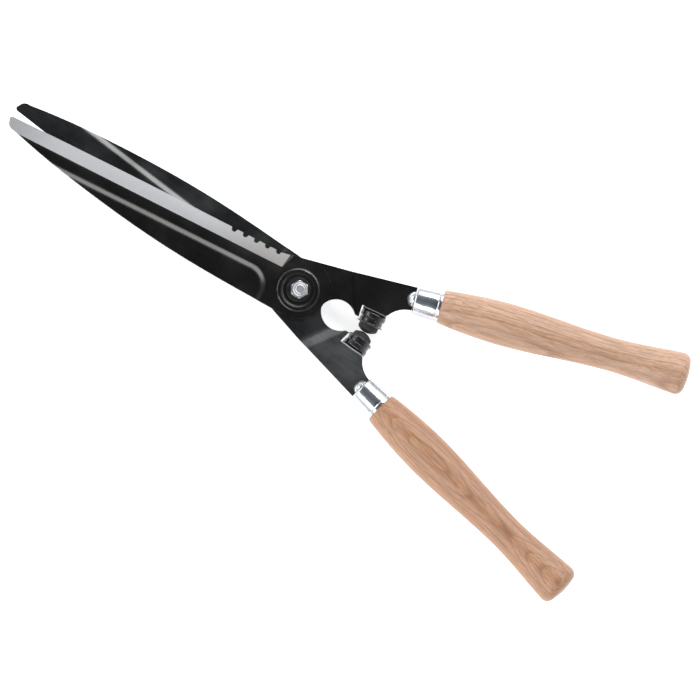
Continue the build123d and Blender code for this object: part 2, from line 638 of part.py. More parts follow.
def pivot_nut():
    """Lock nut: chamfered hexagon with a round collar over the nylon ring."""
    hexagon = RegularPolygon(NUT_WIDTH / 2, 6, major_radius=False)
    body = extrude(hexagon, amount=NUT_HEX_HEIGHT)
    flat = NUT_WIDTH / 2 + 0.1
    corner = flat / cos(radians(30))
    drop = (corner - flat) * tan(radians(NUT_CHAMFER_ANGLE))
    cone = turned([
        (0, 0), (flat, 0), (corner, drop), (corner, NUT_HEX_HEIGHT - drop),
        (flat, NUT_HEX_HEIGHT), (0, NUT_HEX_HEIGHT),
    ])
    low = NUT_HEX_HEIGHT
    top = low + NUT_COLLAR_HEIGHT
    collar = turned([
        (0, low), (NUT_COLLAR_RADIUS, low), (NUT_COLLAR_RADIUS, top - NUT_COLLAR_CHAMFER),
        (NUT_COLLAR_RADIUS - NUT_COLLAR_CHAMFER, top), (0, top),
    ])
    nut = (body & cone) + collar
    nut -= Cylinder(BOLT_DIAMETER / 2, THROUGH)
    nut -= Pos(0, 0, top - NUT_COLLAR_LIP - INSERT_HEIGHT) * Cylinder(
        INSERT_RADIUS, INSERT_HEIGHT, align=(Align.CENTER, Align.CENTER, Align.MIN))
    return Pos(0, 0, NUT_Z) * nut


def nut_insert():
    ring = Cylinder(INSERT_RADIUS, INSERT_HEIGHT, align=(Align.CENTER, Align.CENTER, Align.MIN))
    ring -= Cylinder(BOLT_DIAMETER / 2, THROUGH)
    return Pos(0, 0, NUT_TOP - NUT_COLLAR_LIP - INSERT_HEIGHT) * ring


def pivot_bolt():
    """Cup-headed bolt, its square neck keyed in the rear arm."""
    head_z = -(OUTER_Z + DISH_RISE)
    neck_top = -INNER_Z - DISH_RISE
    top = NUT_TOP + BOLT_END
    radius = BOLT_DIAMETER / 2
    body = turned([
        (0, head_z), (radius, head_z), (radius, top - BOLT_CHAMFER), (radius - BOLT_CHAMFER, top), (0, top),
    ])
    neck = Pos(0, 0, head_z) * Box(
        NECK_WIDTH, NECK_WIDTH, neck_top - head_z, align=(Align.CENTER, Align.CENTER, Align.MIN))
    head_face = make_face([
        Line((0, 0, head_z), (BOLT_HEAD_RADIUS, 0, head_z)),
        Line((BOLT_HEAD_RADIUS, 0, head_z), (BOLT_HEAD_RADIUS, 0, head_z - BOLT_HEAD_RIM)),
        crown_arc(BOLT_HEAD_RADIUS, head_z - BOLT_HEAD_RIM, head_z - BOLT_HEAD_HEIGHT),
        Line((0, 0, head_z - BOLT_HEAD_HEIGHT), (0, 0, head_z)),
    ])
    return body + neck + revolve(head_face, Axis.Z)


# ---- write one STEP for each piece ----

fittings = {
    "ferrule": ferrule(),
    "handle": handle(),
    "buffer_cup": buffer_cup(),
    "buffer_pad": buffer_pad(),
    "buffer_rivet": buffer_rivet(),
}
pieces = {
    "front_blade": front_blade(),
    "rear_blade": rear_blade(),
    "pivot_bolt": pivot_bolt(),
    "pivot_washer": pivot_washer(),
    "pivot_nut": pivot_nut(),
    "nut_insert": nut_insert(),
}
for name, solid in fittings.items():
    pieces["front_" + name] = solid
    pieces["rear_" + name] = mirrored(solid)

os.makedirs("parts", exist_ok=True)
for name, solid in pieces.items():
    export_step(solid, f"parts/{name}.step")
    print(f"{name}: {solid.volume / 1000:.1f} cm3, {len(solid.solids())} solid")
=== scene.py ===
from math import atan2, cos, pi, radians, sin, sqrt, tan

import bpy
from mathutils import Matrix, Vector


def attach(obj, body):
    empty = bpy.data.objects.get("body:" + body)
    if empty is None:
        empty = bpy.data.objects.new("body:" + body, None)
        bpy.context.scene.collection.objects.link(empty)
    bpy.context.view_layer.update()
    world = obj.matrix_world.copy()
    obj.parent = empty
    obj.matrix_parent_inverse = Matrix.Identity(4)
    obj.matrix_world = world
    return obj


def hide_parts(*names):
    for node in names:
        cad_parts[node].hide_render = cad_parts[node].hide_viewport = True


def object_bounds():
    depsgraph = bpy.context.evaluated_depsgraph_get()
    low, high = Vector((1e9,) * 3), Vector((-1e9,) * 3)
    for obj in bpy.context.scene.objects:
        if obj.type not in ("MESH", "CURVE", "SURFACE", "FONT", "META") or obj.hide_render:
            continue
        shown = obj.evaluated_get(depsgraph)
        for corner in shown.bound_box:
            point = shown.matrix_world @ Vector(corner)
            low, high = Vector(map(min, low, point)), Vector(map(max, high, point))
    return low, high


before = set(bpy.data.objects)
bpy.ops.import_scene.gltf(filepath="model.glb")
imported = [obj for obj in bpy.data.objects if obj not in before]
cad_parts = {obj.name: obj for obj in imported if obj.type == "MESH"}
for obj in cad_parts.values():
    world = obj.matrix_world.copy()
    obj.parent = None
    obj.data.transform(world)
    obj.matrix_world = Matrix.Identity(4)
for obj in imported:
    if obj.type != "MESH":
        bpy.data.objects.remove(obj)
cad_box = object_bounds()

MM = 0.001


# ---- Front and rear blade ----
# Each arm is one pressing of 3 mm steel: blade, boss, cranked shank, bent tab and tang.
# The sheet is blackened after pressing, and the bevel is ground bright afterwards, so the
# black stops at the bevel's top edge. The front blade has five pruning notches.

EDGE_ANGLE = radians(5.25)      # rise of the cutting edge towards the tip
BEVEL_TILT = atan2(1.9, 10.7)   # slope of the ground bevel
BEVEL_WIDTH = 10.8 * MM
EDGE_LINE = 21.375 * MM         # distance of the cutting edge's line from the pivot
BEVEL_TOLERANCE = radians(1.5)  # a face this near the bevel's slope is part of it
SHEET_EDGE_ROUND = 0.35 * MM
SAME_POINT = 0.001 * MM         # corners nearer than this are one corner
SHARP_EDGE = radians(35)        # an edge sharper than this gets a small round


def only(obj):
    """Leave one object selected and active, in object mode."""
    if bpy.context.object and bpy.context.object.mode != "OBJECT":
        bpy.ops.object.mode_set(mode="OBJECT")
    bpy.ops.object.select_all(action="DESELECT")
    obj.select_set(True)
    bpy.context.view_layer.objects.active = obj


def apply_modifier(obj, kind, **settings):
    """Add a modifier and apply it at once."""
    only(obj)
    modifier = obj.modifiers.new(kind.lower(), kind)
    for key, value in settings.items():
        setattr(modifier, key, value)
    bpy.ops.object.modifier_apply(modifier=modifier.name)


def merged_copy(node, name):
    """A copy of a CAD piece, its loose triangles joined and its flat faces made whole."""
    copy = bpy.data.objects.new(name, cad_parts[node].data.copy())
    bpy.context.collection.objects.link(copy)
    only(copy)
    bpy.ops.object.mode_set(mode="EDIT")
    bpy.ops.mesh.select_all(action="SELECT")
    bpy.ops.mesh.remove_doubles(threshold=SAME_POINT)
    bpy.ops.mesh.customdata_custom_splitnormals_clear()
    bpy.ops.mesh.dissolve_limited(angle_limit=radians(0.05))
    bpy.ops.object.mode_set(mode="OBJECT")
    copy.data.materials.clear()
    return copy


def shade_smooth(obj, sharp):
    """Shade a piece smooth, apart from edges sharper than an angle."""
    only(obj)
    bpy.ops.object.shade_smooth_by_angle(angle=sharp)


def ease_edges(obj, width):
    """Round off a piece's sharp edges and shade its curved faces smooth."""
    apply_modifier(
        obj, "BEVEL", width=width, segments=2, limit_method="ANGLE", angle_limit=SHARP_EDGE,
        use_clamp_overlap=True)
    shade_smooth(obj, SHARP_EDGE)
    apply_modifier(obj, "WEIGHTED_NORMAL", mode="FACE_AREA_WITH_ANGLE", weight=50, keep_sharp=True)


def new_group(name, inputs, outputs):
    """An empty shader group with named sockets, and its input and output nodes."""
    tree = bpy.data.node_groups.new(name, "ShaderNodeTree")
    for socket, kind, value in inputs:
        made = tree.interface.new_socket(socket, in_out="INPUT", socket_type=kind)
        if value is not None:
            made.default_value = value
    for socket, kind in outputs:
        tree.interface.new_socket(socket, in_out="OUTPUT", socket_type=kind)
    return tree, tree.nodes.new("NodeGroupInput"), tree.nodes.new("NodeGroupOutput")


def node(tree, kind, settings=None, **inputs):
    """Add a node; inputs are plain values or the sockets that feed them, by name or as i and a number."""
    made = tree.nodes.new("ShaderNode" + kind)
    for key, value in (settings or {}).items():
        setattr(made, key, value)
    for key, value in inputs.items():
        numbered = key[0] == "i" and key[1:].isdigit()
        socket = made.inputs[int(key[1:])] if numbered else made.inputs[key.replace("_", " ")]
        if isinstance(value, bpy.types.NodeSocket):
            tree.links.new(value, socket)
        else:
            socket.default_value = value
    return made


def mix_colour(tree, factor, first, second):
    """Blend two colours by a factor."""
    mix = node(tree, "Mix", {"data_type": "RGBA"}, i0=factor, i6=first, i7=second)
    return mix.outputs[2]


def ramp(tree, factor, *stops):
    """Colour ramp through (position, grey or colour) stops."""
    made = node(tree, "ValToRGB", None, Fac=factor)
    elements = made.color_ramp.elements
    while len(elements) < len(stops):
        elements.new(0.5)
    for element, (place, value) in zip(elements, stops):
        element.position = place
        element.color = (value, value, value, 1) if isinstance(value, (int, float)) else (*value, 1)
    return made.outputs[0]


def surface(name, colour, metallic, roughness, **sockets):
    """A material with its Principled shader ready, and the piece's own coordinates."""
    material = bpy.data.materials.new(name)
    material.use_nodes = True
    tree = material.node_tree
    shader = tree.nodes["Principled BSDF"]
    shader.inputs["Base Color"].default_value = (*colour, 1)
    shader.inputs["Metallic"].default_value = metallic
    shader.inputs["Roughness"].default_value = roughness
    for key, value in sockets.items():
        shader.inputs[key.replace("_", " ")].default_value = value
    place = node(tree, "TexCoord").outputs["Object"]
    return material, tree, shader, place


def build_cloudy():
    """Soft uneven patches: how much a finish varies from place to place, and a fine tooth."""
    tree, given, result = new_group(
        "cloudy_finish",
        [("Place", "NodeSocketVector", None), ("Patch scale", "NodeSocketFloat", 40.0),
         ("Tooth scale", "NodeSocketFloat", 1500.0)],
        [("Patches", "NodeSocketFloat"), ("Tooth", "NodeSocketFloat")],
    )
    patches = node(tree, "TexNoise", None, Vector=given.outputs["Place"],
                   Scale=given.outputs["Patch scale"], Detail=4.0, Roughness=0.6)
    tooth = node(tree, "TexNoise", None, Vector=given.outputs["Place"],
                 Scale=given.outputs["Tooth scale"], Detail=2.0)
    spread = node(tree, "MapRange", None, Value=patches.outputs[0], From_Min=0.3, From_Max=0.7)
    tree.links.new(spread.outputs[0], result.inputs["Patches"])
    tree.links.new(tooth.outputs[0], result.inputs["Tooth"])
    return tree


def build_edge_wear_and_highlight():
    """Mask that is 1 on eased outer edges, broken up in patches: it lays on both real edge wear and a painted
    highlight where the rounded edges catch light.
    """
    tree, given, result = new_group(
        "edge_wear_and_highlight",
        [("Place", "NodeSocketVector", None), ("Width", "NodeSocketFloat", 0.0006)],
        [("Wear and highlight", "NodeSocketFloat")],
    )
    rounded = node(tree, "Bevel", {"samples": 6}, Radius=given.outputs["Width"])
    flat = node(tree, "NewGeometry")
    agreement = node(tree, "VectorMath", {"operation": "DOT_PRODUCT"},
                     i0=rounded.outputs[0], i1=flat.outputs["Normal"])
    edge = node(tree, "MapRange", None, Value=agreement.outputs["Value"],
                From_Min=0.995, From_Max=0.90, To_Min=0.0, To_Max=1.0)
    breaks = node(tree, "TexNoise", None, Vector=given.outputs["Place"], Scale=220.0, Detail=3.0)
    patchy = node(tree, "MapRange", None, Value=breaks.outputs[0], From_Min=0.42, From_Max=0.62)
    wear_and_highlight = node(tree, "Math", {"operation": "MULTIPLY"}, i0=edge.outputs[0], i1=patchy.outputs[0])
    tree.links.new(wear_and_highlight.outputs[0], result.inputs["Wear and highlight"])
    return tree


def add_group(tree, group, **inputs):
    """Place a shader group in a material."""
    made = tree.nodes.new("ShaderNodeGroup")
    made.node_tree = group
    for key, value in inputs.items():
        socket = made.inputs[key.replace("_", " ")]
        if isinstance(value, bpy.types.NodeSocket):
            tree.links.new(value, socket)
        else:
            socket.default_value = value
    return made


def bump(tree, shader, height, distance, strength=1.0):
    """Feed a height to the shader's normal."""
    made = node(tree, "Bump", None, Height=height, Distance=distance, Strength=strength)
    tree.links.new(made.outputs[0], shader.inputs["Normal"])


cloudy_finish = build_cloudy()
edge_wear_and_highlight = build_edge_wear_and_highlight()


def black_steel(name, dark, light, streak, bare_and_highlit=(0.30, 0.28, 0.25)):
    """Blackened sheet: satin, clouded and faintly streaked along it, bare along its worn edges, where the
    lighter colour is also a painted edge highlight.
    """
    material, tree, shader, place = surface(name, dark, 1.0, 0.28, Coat_Weight=0.6, Coat_Roughness=0.2)
    cloud = add_group(tree, cloudy_finish, Place=place, Patch_scale=28.0, Tooth_scale=2600.0)
    wear_and_highlight = add_group(tree, edge_wear_and_highlight, Place=place, Width=0.0007)
    along = node(tree, "Mapping", None, Vector=place, Scale=(9, 420, 420))
    rolled = node(tree, "TexNoise", None, Vector=along.outputs[0], Scale=1.0, Detail=3.0, Roughness=0.6)
    clouded = mix_colour(tree, cloud.outputs["Patches"], (*dark, 1), (*light, 1))
    line = node(tree, "MapRange", None, Value=rolled.outputs[0], From_Min=0.5, From_Max=0.72, To_Max=streak)
    black = mix_colour(tree, line.outputs[0], clouded, (0.20, 0.205, 0.21, 1))
    # Painted edge highlight mixed with edge wear: the eased edges get a lighter colour, partly bare metal and
    # partly light they would catch.
    finish = mix_colour(tree, wear_and_highlight.outputs["Wear and highlight"], black, (*bare_and_highlit, 1))
    tree.links.new(finish, shader.inputs["Base Color"])
    rough = node(tree, "MapRange", None, Value=cloud.outputs["Patches"], To_Min=0.22, To_Max=0.34)
    tree.links.new(rough.outputs[0], shader.inputs["Roughness"])
    bump(tree, shader, cloud.outputs["Tooth"], 0.00002, 0.5)
    return material


def ground_steel():
    """Bright ground bevel: fine scratches across the edge, warmer at the heel, duller at the tip."""
    material, tree, shader, place = surface("ground_steel", (0.52, 0.52, 0.52), 0.4, 0.5)
    along = node(tree, "Mapping", None, Vector=place, Rotation=(0, 0, -EDGE_ANGLE), Scale=(3200, 130, 130))
    scratches = node(tree, "TexNoise", None, Vector=along.outputs[0], Scale=1.0, Detail=3.0, Roughness=0.7)
    distance = node(tree, "SeparateXYZ", None, Vector=place)
    heel = node(tree, "MapRange", {"interpolation_type": "SMOOTHSTEP"}, Value=distance.outputs["X"],
                From_Min=0.030, From_Max=0.105)
    bright = mix_colour(tree, heel.outputs[0], (0.40, 0.385, 0.365, 1), (0.53, 0.53, 0.54, 1))
    tip = node(tree, "MapRange", {"interpolation_type": "SMOOTHSTEP"}, Value=distance.outputs["X"],
               From_Min=0.215, From_Max=0.268)
    bright = mix_colour(tree, tip.outputs[0], bright, (0.38, 0.38, 0.385, 1))
    shade = ramp(tree, scratches.outputs[0], (0.3, 0.86), (0.7, 1.0))
    scored = node(tree, "Mix", {"data_type": "RGBA", "blend_type": "MULTIPLY"},
                  i0=1.0, i6=bright, i7=shade)
    tree.links.new(scored.outputs[2], shader.inputs["Base Color"])
    rough = node(tree, "MapRange", None, Value=scratches.outputs[0], To_Min=0.42, To_Max=0.58)
    tree.links.new(rough.outputs[0], shader.inputs["Roughness"])
    bump(tree, shader, scratches.outputs[0], 0.00001, 0.4)
    return material


bright_bevel = ground_steel()
blade_finishes = {
    "front": black_steel("blackened_steel_brown", (0.040, 0.038, 0.035), (0.062, 0.059, 0.055), 0.06),
    "rear": black_steel("blackened_steel_blue", (0.060, 0.060, 0.057), (0.125, 0.130, 0.127), 0.3),
}
blades = {}
for arm, turn in (("front", 1), ("rear", -1)):
    blade = merged_copy(arm + "_blade", arm + "_blade_steel")
    blade.data.materials.append(blade_finishes[arm])
    blade.data.materials.append(bright_bevel)
    towards_edge = Vector((sin(EDGE_ANGLE), -cos(EDGE_ANGLE), 0))
    square = towards_edge * sin(BEVEL_TILT) + Vector((0, 0, cos(BEVEL_TILT)))
    square = Vector((square.x, square.y * turn, square.z * turn))
    for face in blade.data.polygons:
        inside = EDGE_LINE - Vector((face.center.x, face.center.y * turn, 0)).dot(towards_edge)
        if face.normal.angle(square) < BEVEL_TOLERANCE and inside < BEVEL_WIDTH:
            face.material_index = 1
    ease_edges(blade, SHEET_EDGE_ROUND)
    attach(blade, arm + "_arm")
    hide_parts(arm + "_blade")
    blades[arm] = blade


# ---- Pivot bolt, washer and lock nut ----
# An M8 cup-headed bolt keyed in the rear arm by its square neck, a black washer and a
# zinc-plated lock nut with a nylon ring in its collar. The nut sets how stiff the blades turn.

def zinc_plate():
    """Bright zinc plate: cold and faintly mottled."""
    material, tree, shader, place = surface("zinc_plate", (0.72, 0.73, 0.75), 0.85, 0.34)
    cloud = add_group(tree, cloudy_finish, Place=place, Patch_scale=260.0, Tooth_scale=2400.0)
    plate = mix_colour(tree, cloud.outputs["Patches"], (0.62, 0.63, 0.66, 1), (0.82, 0.83, 0.84, 1))
    tree.links.new(plate, shader.inputs["Base Color"])
    rough = node(tree, "MapRange", None, Value=cloud.outputs["Patches"], To_Min=0.26, To_Max=0.42)
    tree.links.new(rough.outputs[0], shader.inputs["Roughness"])
    bump(tree, shader, cloud.outputs["Tooth"], 0.00002, 0.4)
    return material


def washer_black():
    """Black oxide on a stamped washer."""
    material, tree, shader, place = surface("washer_black", (0.03, 0.028, 0.026), 0.7, 0.42)
    cloud = add_group(tree, cloudy_finish, Place=place, Patch_scale=180.0, Tooth_scale=2600.0)
    wear_and_highlight = add_group(tree, edge_wear_and_highlight, Place=place, Width=0.0003)
    black = mix_colour(tree, cloud.outputs["Patches"], (0.022, 0.02, 0.019, 1), (0.05, 0.045, 0.04, 1))
    # Painted edge highlight mixed with edge wear: the eased edges get a lighter colour, partly bare metal and
    # partly light they would catch.
    finish = mix_colour(tree, wear_and_highlight.outputs["Wear and highlight"], black, (0.3, 0.28, 0.26, 1))
    tree.links.new(finish, shader.inputs["Base Color"])
    bump(tree, shader, cloud.outputs["Tooth"], 0.00003, 0.5)
    return material


def nylon():
    """White nylon, slightly translucent, scuffed by the thread."""
    material, tree, shader, place = surface("nylon_white", (0.75, 0.76, 0.74), 0.0, 0.5,
                                            Subsurface_Weight=0.2)
    cloud = add_group(tree, cloudy_finish, Place=place, Patch_scale=300.0, Tooth_scale=1800.0)
    tone = mix_colour(tree, cloud.outputs["Patches"], (0.66, 0.67, 0.66, 1), (0.82, 0.83, 0.81, 1))
    tree.links.new(tone, shader.inputs["Base Color"])
    bump(tree, shader, cloud.outputs["Tooth"], 0.00003, 0.4)
    return material


zinc = zinc_plate()
FASTENING = (
    ("pivot_bolt", "pivot_bolt_zinc", zinc, "zinc_steel", 0.25 * MM),
    ("pivot_washer", "pivot_washer_black", washer_black(), "black_washer", 0.2 * MM),
    ("pivot_nut", "pivot_nut_zinc", zinc, "zinc_steel", 0.16 * MM),
    ("nut_insert", "nut_insert_nylon", nylon(), "nylon", 0.12 * MM),
)
for cad_node, name, material, slot, edge in FASTENING:
    piece = merged_copy(cad_node, name)
    piece.data.materials.append(material)
    ease_edges(piece, edge)
    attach(piece, "rear_arm")
    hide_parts(cad_node)


# ---- Ferrules ----
# Pressed steel cups, bright plated, closed at the shank end with a domed nose that the sheet
# splits in two. A shallow bead near the open end stiffens the mouth round the wood.

FERRULE_SHOULDER = Vector((-84.0, -42.5, 13.48)) * MM   # middle of the closed end, front arm
HANDLE_SPREAD = radians(14.95)      # turn of the handle from -X, seen from above
HANDLE_CLIMB = radians(13.16)       # its rise
CRANK_TURN = radians(35.3)          # direction in which the shank bends up
CRANK_ANGLE = radians(14.0)
FERRULE_LENGTH = 22.8
FERRULE_NECK = 12.6
FERRULE_RADIUS = 13.5
FERRULE_WALL = 1.1
NOSE_RADIUS = 7.0
NOSE_LENGTH = 6.2
SHOULDER_ROUND = 2.4
FERRULE_RINGS = (6.0, 11.0, 16.0)   # where the straight taper gets a row of corners
MOUTH_ROUND = 0.4
BEAD_AT = 19.6
BEAD_HALF = 1.2         # half the bead's width
BEAD_DEPTH = 0.28
BEAD_STEPS = 8
SLOT_HEIGHT = 3.1
SLOT_WIDTH = 19.7
SLOT_DEPTH = 15         # the cut that takes the sheet, right through nose and shoulder
NOSE_STEPS = 12
ROUND_STEPS = 96
TURNED_EDGE = radians(40)       # turned pieces keep edges sharper than this


def lathe(name, profile, steps=ROUND_STEPS, ring=False):
    """Turn a piece from (radius, height) points in mm: a circle drawn out and resized step by step.

    A ring's profile ends where it starts, and its two end circles are joined into one.
    """
    radius, height = profile[0]
    bpy.ops.object.select_all(action="DESELECT")
    bpy.ops.mesh.primitive_circle_add(
        vertices=steps, radius=radius * MM, location=(0, 0, height * MM),
        fill_type="NOTHING" if ring else "NGON")
    obj = bpy.context.object
    obj.name = name
    bpy.ops.object.transform_apply(location=True)
    bpy.ops.object.mode_set(mode="EDIT")
    bpy.ops.mesh.select_all(action="SELECT")
    for next_radius, next_height in profile[1:]:
        bpy.ops.mesh.extrude_region_move(
            TRANSFORM_OT_translate={"value": (0, 0, (next_height - height) * MM)})
        scale = next_radius / radius
        bpy.ops.transform.resize(value=(scale, scale, 1), center_override=(0, 0, next_height * MM))
        radius, height = next_radius, next_height
    bpy.ops.mesh.select_all(action="SELECT")
    if ring:
        bpy.ops.mesh.remove_doubles(threshold=5 * SAME_POINT)
    bpy.ops.mesh.normals_make_consistent(inside=False)
    bpy.ops.object.mode_set(mode="OBJECT")
    return obj


def arc(centre_r, centre_z, radius, start, end, steps):
    """Points of a round in a lathe profile, from one angle to another in degrees."""
    points = []
    for i in range(steps + 1):
        angle = radians(start + (end - start) * i / steps)
        points.append((centre_r + radius * cos(angle), centre_z + radius * sin(angle)))
    return points


def arm_place(shoulder, along, normal):
    """Matrix from a piece's own axes (Z along it, X out of the sheet) to its place on the front arm."""
    across = along.cross(normal)
    turn = Matrix((normal, across, along)).transposed()
    return Matrix.Translation(shoulder) @ turn.to_4x4()


def place_on_both_arms(obj, place, base, cad_part):
    """Set a finished piece on the front arm and its mirror image on the rear arm."""
    obj.name = "front_" + base
    obj.matrix_world = place
    only(obj)
    bpy.ops.object.transform_apply(location=True, rotation=True, scale=True)
    twin = bpy.data.objects.new("rear_" + base, obj.data.copy())
    bpy.context.collection.objects.link(twin)
    twin.scale = (1, -1, 1)
    only(twin)
    bpy.ops.object.transform_apply(scale=True)
    bpy.ops.object.mode_set(mode="EDIT")
    bpy.ops.mesh.select_all(action="SELECT")
    bpy.ops.mesh.normals_make_consistent(inside=False)
    bpy.ops.object.mode_set(mode="OBJECT")
    for piece, arm in ((obj, "front"), (twin, "rear")):
        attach(piece, arm + "_arm")
        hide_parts(arm + "_" + cad_part)
    return obj, twin


def chrome_plate():
    """Bright nickel-chrome plate with a fine tooth and a few dull smears."""
    material, tree, shader, place = surface("bright_plate", (0.66, 0.68, 0.71), 1.0, 0.16)
    cloud = add_group(tree, cloudy_finish, Place=place, Patch_scale=90.0, Tooth_scale=3000.0)
    plate = mix_colour(tree, cloud.outputs["Patches"], (0.60, 0.625, 0.655, 1), (0.72, 0.74, 0.765, 1))
    tree.links.new(plate, shader.inputs["Base Color"])
    rough = node(tree, "MapRange", None, Value=cloud.outputs["Patches"], To_Min=0.13, To_Max=0.22)
    tree.links.new(rough.outputs[0], shader.inputs["Roughness"])
    bump(tree, shader, cloud.outputs["Tooth"], 0.00001, 0.3)
    return material


handle_along = Vector((
    -cos(HANDLE_CLIMB) * cos(HANDLE_SPREAD), -cos(HANDLE_CLIMB) * sin(HANDLE_SPREAD), sin(HANDLE_CLIMB)))
sheet_normal = Vector((
    cos(CRANK_TURN) * tan(CRANK_ANGLE), sin(CRANK_TURN) * tan(CRANK_ANGLE), 1)).normalized()
sheet_normal = (sheet_normal - handle_along * sheet_normal.dot(handle_along)).normalized()
handle_place = arm_place(FERRULE_SHOULDER, handle_along, sheet_normal)

nose_sphere = (NOSE_RADIUS ** 2 + NOSE_LENGTH ** 2) / (2 * NOSE_LENGTH)
ferrule_profile = []
for i in range(NOSE_STEPS + 1):
    share = max(i / NOSE_STEPS, 0.02)       # a point on the axis could not be drawn out
    r = NOSE_RADIUS * sin(share * pi / 2)
    ferrule_profile.append((r, -NOSE_LENGTH + nose_sphere - sqrt(nose_sphere ** 2 - r ** 2)))
ferrule_profile += [(NOSE_RADIUS + 0.5, 0.0), (FERRULE_NECK - SHOULDER_ROUND - 0.6, 0.0)]
ferrule_profile += arc(FERRULE_NECK - SHOULDER_ROUND, SHOULDER_ROUND, SHOULDER_ROUND, -90, 0, 8)


def ferrule_radius(z):
    """Outside radius of the tapered ferrule at a distance from its shoulder."""
    share = (z - SHOULDER_ROUND) / (FERRULE_LENGTH - SHOULDER_ROUND)
    return FERRULE_NECK + (FERRULE_RADIUS - FERRULE_NECK) * share


for z in (*FERRULE_RINGS, BEAD_AT - BEAD_HALF):
    ferrule_profile.append((ferrule_radius(z), z))
for i in range(1, BEAD_STEPS):
    z = BEAD_AT - BEAD_HALF + 2 * BEAD_HALF * i / BEAD_STEPS
    ferrule_profile.append((ferrule_radius(z) - BEAD_DEPTH * sin(pi * i / BEAD_STEPS) ** 2, z))
ferrule_profile += [
    (ferrule_radius(BEAD_AT + BEAD_HALF), BEAD_AT + BEAD_HALF),
    (FERRULE_RADIUS - 0.05, FERRULE_LENGTH - 0.5),
]
ferrule_profile += arc(
    FERRULE_RADIUS - MOUTH_ROUND - 0.05, FERRULE_LENGTH - MOUTH_ROUND, MOUTH_ROUND, 20, 90, 4)
ferrule_profile += [
    (FERRULE_RADIUS - FERRULE_WALL, FERRULE_LENGTH),
    (FERRULE_NECK - FERRULE_WALL, SHOULDER_ROUND + 1),
    (FERRULE_NECK - SHOULDER_ROUND, FERRULE_WALL),
    (0.5, FERRULE_WALL),
]
ferrule = lathe("ferrule", ferrule_profile)
bpy.ops.object.select_all(action="DESELECT")
bpy.ops.mesh.primitive_cube_add(size=1, location=(0, 0, 0))
slot_cutter = bpy.context.object
slot_cutter.scale = (SLOT_HEIGHT * MM, SLOT_WIDTH * MM, SLOT_DEPTH * MM)
bpy.ops.object.transform_apply(scale=True)
apply_modifier(ferrule, "BOOLEAN", object=slot_cutter, operation="DIFFERENCE", solver="EXACT")
bpy.data.objects.remove(slot_cutter)
ferrule.data.materials.append(chrome_plate())
shade_smooth(ferrule, TURNED_EDGE)
place_on_both_arms(ferrule, handle_place, "ferrule_plated", "ferrule")


# ---- Handles ----
# Turned beech, driven on the tang and into the ferrule: a belly for the palm, a slim waist
# and a rounded butt. Clear lacquered; the rear one is a redder piece of wood, cut so that its
# rings show as long nested ovals, and the front one's run almost straight.

WOOD_START = 4.6
HANDLE_LENGTH = 229.0
BUTT_ROUND = 7.0
BUTT_DOME = 1.2
BODY_STEPS = 60
BUTT_STEPS = 9
HANDLE_STATIONS = (      # distance from the ferrule's shoulder, radius, slope of the outside
    (FERRULE_LENGTH + 0.8, 13.9, 0.13),
    (76.0, 17.65, 0.0),
    (165.0, 13.65, 0.0),
    (HANDLE_LENGTH - BUTT_DOME - BUTT_ROUND, 17.3, 0.06),
)


def handle_radius(z):
    """Smooth curve of the handle's outside through its stations."""
    for (z0, r0, s0), (z1, r1, s1) in zip(HANDLE_STATIONS, HANDLE_STATIONS[1:]):
        if z <= z1:
            break
    span = z1 - z0
    t = (z - z0) / span
    return (
        r0 * (2 * t ** 3 - 3 * t ** 2 + 1) + r1 * (3 * t ** 2 - 2 * t ** 3)
        + span * s0 * (t ** 3 - 2 * t ** 2 + t) + span * s1 * (t ** 3 - t ** 2)
    )


